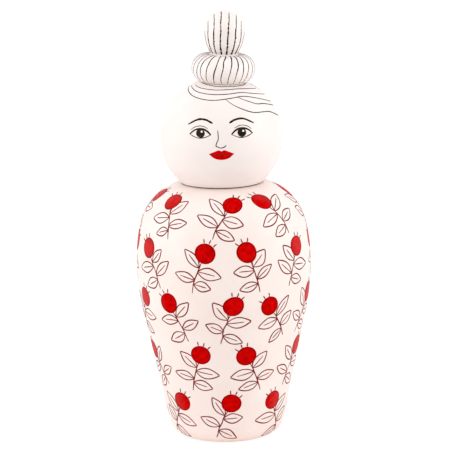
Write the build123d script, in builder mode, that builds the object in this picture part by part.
from build123d import *
from math import acos, atan2, cos, degrees, radians, sin, sqrt, tan
import os

# A lidded ceramic vase in the shape of a seated figure: a broad-shouldered vessel is the
# body, a round hollow head is its lid, and a two-tier topknot caps a low neck in the crown,
# so that stems can stand in the head as well as in the open vessel.
# Millimetres, +Z up, origin at the middle of the foot, and the face looks along -Y.
# Every piece is a hollow shell turned about Z, drawn as a half section in the XZ plane,
# where the first coordinate is the radius and the second is the height.

# Vessel
BASE_RADIUS = 54.4          # where the straight flank would meet the ground
BASE_ROUNDING = 17.0
BELLY_RADIUS = 87.0         # widest part of the vessel
BELLY_HEIGHT = 177.0
BELLY_ARC = 244.0           # slow curve that the flank runs into below the belly
UPPER_BELLY_ARC = 180.0     # slow curve just above the belly
UPPER_BELLY_SWEEP = 12.0    # degrees
SHOULDER_RISE = 80.0        # from the belly to the flat rim that the head rests on
SHOULDER_END_RADIUS = 41.0  # where the shoulder meets the rim
VESSEL_WALL = 6.0
FLOOR_THICKNESS = 8.0
INNER_FLOOR_ROUNDING = 12.0
MOUTH_RADIUS = 33.5
FOOT_RING_WIDTH = 7.0
FOOT_RECESS = 2.5

# Head, which is the lid of the vessel
HEAD_RADIUS = 60.5
HEAD_FOOT_RADIUS = 40.4     # where the round of the head meets the rim
HEAD_WALL = 5.0
COLLAR_CLEARANCE = 1.0      # between the mouth and the collar that centres the head
COLLAR_WALL = 4.5
COLLAR_DEPTH = 15.0
CROWN_LEAN = 2.9            # degrees that the crown and the topknot lean towards +X
CROWN_LAND_RADIUS = 23.8    # flat on the crown that carries the topknot
NECK_RADIUS = 16.8          # low neck around the opening in the crown
NECK_WALL = 3.6
NECK_RISE = 7.5             # above the flat

# Topknot, which is the cap of the crown
TOPKNOT_FOOT_RADIUS = 22.8
ROLL_RADIUS = 31.4
ROLL_RISE = 13.7            # from the foot to the widest part of the roll
ROLL_UPPER_ARC = 13.8
WAIST_RADIUS = 11.8
BUD_RADIUS = 20.2
BUD_RISE = 24.6             # from the waist to the widest part of the bud
TOPKNOT_WALL = 4.5
SOCKET_CLEARANCE = 0.8      # between the neck and the topknot that fits over it

# Softened edges of the fired pieces
SEAM_ROUNDING = 1.0         # outer edges that meet at the two visible seams
RIM_ROUNDING = 1.2          # edges of the mouth, the collar, the neck and the socket


def round_corner(corner, radius):
    """Rounds the corner of the current half section that lies nearest to a point."""
    nearest = vertices().sort_by_distance((*corner, 0))[0]
    fillet(nearest, radius=radius)


# The flank is the tangent from the base to the belly arc, which is upright at the belly
base_to_centre = Vector(BASE_RADIUS - BELLY_RADIUS + BELLY_ARC, BELLY_HEIGHT)
flank_lean = atan2(base_to_centre.Y, base_to_centre.X) - acos(BELLY_ARC / base_to_centre.length)

# The shoulder arc leaves the upper belly arc without a kink and ends at the rim
seat_height = BELLY_HEIGHT + SHOULDER_RISE
sweep = radians(UPPER_BELLY_SWEEP)
shoulder_normal = Vector(cos(sweep), sin(sweep))
shoulder_start = Vector(BELLY_RADIUS - UPPER_BELLY_ARC, BELLY_HEIGHT) + shoulder_normal * UPPER_BELLY_ARC
shoulder_chord = Vector(SHOULDER_END_RADIUS, seat_height) - shoulder_start
shoulder_arc = -shoulder_chord.dot(shoulder_chord) / (2 * shoulder_chord.dot(shoulder_normal))
shoulder_spoke = Vector(SHOULDER_END_RADIUS, seat_height) - shoulder_start + shoulder_normal * shoulder_arc
shoulder_sweep = degrees(atan2(shoulder_spoke.Y, shoulder_spoke.X)) - UPPER_BELLY_SWEEP


def vessel_outline(inset, low):
    """Edges of the vessel's half section, moved in from its outer face by an inset: a level
    bottom at a height, the flank, the belly, the upper belly, the shoulder and a level top."""
    outward = Vector(cos(flank_lean), -sin(flank_lean))
    flank_foot = Vector(BASE_RADIUS, 0) - outward * inset
    low_corner = flank_foot + Vector(tan(flank_lean), 1) * (low - flank_foot.Y)
    flank_top = Vector(BELLY_RADIUS - BELLY_ARC, BELLY_HEIGHT) + outward * (BELLY_ARC - inset)
    with BuildLine() as outline:
        flank = Line(low_corner, flank_top)
        belly = JernArc(flank @ 1, flank % 1, BELLY_ARC - inset, degrees(flank_lean))
        upper = JernArc(belly @ 1, belly % 1, UPPER_BELLY_ARC - inset, UPPER_BELLY_SWEEP)
        shoulder = JernArc(upper @ 1, upper % 1, shoulder_arc - inset, shoulder_sweep)
        Polyline(shoulder @ 1, (0, (shoulder @ 1).Y), (0, low), low_corner)
    return outline.edges()


# Vessel: the outer form less the hollow, the mouth and the recess inside the foot ring
foot_radius = BASE_RADIUS - BASE_ROUNDING * tan((radians(90) - flank_lean) / 2)
recess_radius = foot_radius - FOOT_RING_WIDTH
hollow_corner = BASE_RADIUS - VESSEL_WALL / cos(flank_lean) + FLOOR_THICKNESS * tan(flank_lean)
hollow_top = seat_height - VESSEL_WALL * shoulder_spoke.normalized().Y

with BuildPart() as vase_body:
    with BuildSketch(Plane.XZ):
        make_face(vessel_outline(0, 0))
        round_corner((BASE_RADIUS, 0), BASE_ROUNDING)
        make_face(vessel_outline(VESSEL_WALL, FLOOR_THICKNESS), mode=Mode.SUBTRACT)
        round_corner((hollow_corner, FLOOR_THICKNESS), INNER_FLOOR_ROUNDING)
        with Locations((0, seat_height)):
            Rectangle(2 * MOUTH_RADIUS, 4 * VESSEL_WALL, mode=Mode.SUBTRACT)
        Rectangle(2 * recess_radius, 2 * FOOT_RECESS, mode=Mode.SUBTRACT)
        round_corner((SHOULDER_END_RADIUS, seat_height), SEAM_ROUNDING)
        round_corner((MOUTH_RADIUS, seat_height), RIM_ROUNDING)
        round_corner((MOUTH_RADIUS, hollow_top), RIM_ROUNDING)
        round_corner((recess_radius, 0), RIM_ROUNDING)
    revolve(axis=Axis.Z)
vase_body.part.label = "vase_body"

# Head: a round shell with a neck on its leaning crown, trimmed to a flat seat, with a floor ring
# and a collar.
# The crown and the topknot are drawn on a leaning plane with its origin at the head's centre.
head_centre = seat_height + sqrt(HEAD_RADIUS**2 - HEAD_FOOT_RADIUS**2)
crown_lean = radians(CROWN_LEAN)
crown_axis = Axis((0, 0, head_centre), (sin(crown_lean), 0, cos(crown_lean)))
crown_plane = Plane((0, 0, head_centre), x_dir=(cos(crown_lean), 0, -sin(crown_lean)), z_dir=(0, -1, 0))
crown = sqrt(HEAD_RADIUS**2 - CROWN_LAND_RADIUS**2)
head_hollow = HEAD_RADIUS - HEAD_WALL
ceiling = crown - HEAD_WALL
ceiling_radius = sqrt(head_hollow**2 - ceiling**2)
neck_bore = NECK_RADIUS - NECK_WALL
neck_top = crown + NECK_RISE
floor_radius = sqrt(head_hollow**2 - (head_centre - seat_height - HEAD_WALL) ** 2)
collar_radius = MOUTH_RADIUS - COLLAR_CLEARANCE
collar_end = Plane.XY.offset(seat_height - COLLAR_DEPTH)
seat = Plane.XY.offset(seat_height)

with BuildPart() as head_lid:
    with BuildSketch(crown_plane):
        with BuildLine():
            Line((NECK_RADIUS, crown), (CROWN_LAND_RADIUS, crown))
            ThreePointArc((CROWN_LAND_RADIUS, crown), (HEAD_RADIUS, 0), (0, -HEAD_RADIUS))
            Line((0, -HEAD_RADIUS), (0, -head_hollow))
            ThreePointArc((0, -head_hollow), (head_hollow, 0), (ceiling_radius, ceiling))
            Polyline(
                (ceiling_radius, ceiling),
                (neck_bore, ceiling),
                (neck_bore, neck_top),
                (NECK_RADIUS, neck_top),
                (NECK_RADIUS, crown),
            )
        make_face()
        round_corner((neck_bore, ceiling), RIM_ROUNDING)
        round_corner((neck_bore, neck_top), RIM_ROUNDING)
        round_corner((NECK_RADIUS, neck_top), RIM_ROUNDING)
        round_corner((CROWN_LAND_RADIUS, crown), SEAM_ROUNDING)
    revolve(axis=crown_axis)
    split(bisect_by=seat, keep=Keep.TOP)
    with BuildSketch(seat):
        Circle((HEAD_FOOT_RADIUS + floor_radius) / 2)
    extrude(amount=HEAD_WALL)
    with BuildSketch(seat):
        Circle(collar_radius)
    extrude(amount=-COLLAR_DEPTH)
    with BuildSketch(collar_end):
        Circle(collar_radius - COLLAR_WALL)
    extrude(amount=COLLAR_DEPTH + HEAD_WALL, mode=Mode.SUBTRACT)
    rings = edges().filter_by(GeomType.CIRCLE)
    fillet(rings.group_by(Axis.Z)[0], radius=RIM_ROUNDING)
    rings = edges().filter_by(GeomType.CIRCLE).filter_by_position(Axis.Z, seat_height, seat_height)
    fillet(rings.sort_by(SortBy.RADIUS)[-1], radius=SEAM_ROUNDING)
head_lid.part.label = "head_lid"

# Topknot: a wide roll under a bud, drawn from its top down the outside and back up the inside
roll_height = crown + ROLL_RISE
roll_overhang = ROLL_RADIUS - TOPKNOT_FOOT_RADIUS
roll_lower_arc = (roll_overhang**2 + ROLL_RISE**2) / (2 * roll_overhang)
roll_upper_centre = ROLL_RADIUS - ROLL_UPPER_ARC
waist_height = roll_height + sqrt(ROLL_UPPER_ARC**2 - (WAIST_RADIUS - roll_upper_centre) ** 2)
bud_height = waist_height + BUD_RISE
bud_overhang = BUD_RADIUS - WAIST_RADIUS
bud_lower_arc = (bud_overhang**2 + BUD_RISE**2) / (2 * bud_overhang)
socket = NECK_RADIUS + SOCKET_CLEARANCE
topknot_floor = crown + TOPKNOT_WALL
roll_hollow = ROLL_RADIUS - TOPKNOT_WALL
roll_hollow_arc = roll_lower_arc - TOPKNOT_WALL
roll_floor_radius = roll_hollow - roll_hollow_arc + sqrt(
    roll_hollow_arc**2 - (roll_height - topknot_floor) ** 2
)
roll_ceiling = roll_height + ROLL_UPPER_ARC - TOPKNOT_WALL
bud_hollow = BUD_RADIUS - TOPKNOT_WALL
bud_hollow_arc = bud_lower_arc - TOPKNOT_WALL
throat = WAIST_RADIUS - TOPKNOT_WALL
throat_top = bud_height - sqrt(bud_hollow_arc**2 - (throat - bud_hollow + bud_hollow_arc) ** 2)

with BuildPart() as topknot:
    with BuildSketch(crown_plane):
        with BuildLine():
            RadiusArc((0, bud_height + BUD_RADIUS), (BUD_RADIUS, bud_height), BUD_RADIUS)
            RadiusArc((BUD_RADIUS, bud_height), (WAIST_RADIUS, waist_height), bud_lower_arc)
            RadiusArc((WAIST_RADIUS, waist_height), (ROLL_RADIUS, roll_height), ROLL_UPPER_ARC)
            RadiusArc((ROLL_RADIUS, roll_height), (TOPKNOT_FOOT_RADIUS, crown), roll_lower_arc)
            Polyline(
                (TOPKNOT_FOOT_RADIUS, crown),
                (socket, crown),
                (socket, topknot_floor),
                (roll_floor_radius, topknot_floor),
            )
            RadiusArc((roll_floor_radius, topknot_floor), (roll_hollow, roll_height), -roll_hollow_arc)
            RadiusArc(
                (roll_hollow, roll_height),
                (roll_upper_centre, roll_ceiling),
                TOPKNOT_WALL - ROLL_UPPER_ARC,
            )
            Polyline((roll_upper_centre, roll_ceiling), (throat, roll_ceiling), (throat, throat_top))
            RadiusArc((throat, throat_top), (bud_hollow, bud_height), -bud_hollow_arc)
            RadiusArc((bud_hollow, bud_height), (0, bud_height + bud_hollow), -bud_hollow)
            Line((0, bud_height + bud_hollow), (0, bud_height + BUD_RADIUS))
        make_face()
        round_corner((WAIST_RADIUS, waist_height), RIM_ROUNDING)
        round_corner((TOPKNOT_FOOT_RADIUS, crown), SEAM_ROUNDING)
        round_corner((socket, crown), RIM_ROUNDING)
    revolve(axis=crown_axis)
topknot.part.label = "topknot"

os.makedirs("parts", exist_ok=True)
for piece in (vase_body, head_lid, topknot):
    export_step(piece.part, f"parts/{piece.part.label}.step")
    print(f"{piece.part.label}: {piece.part.volume / 1000:.0f} cm3, top at {piece.part.bounding_box().max.Z:.1f} mm")
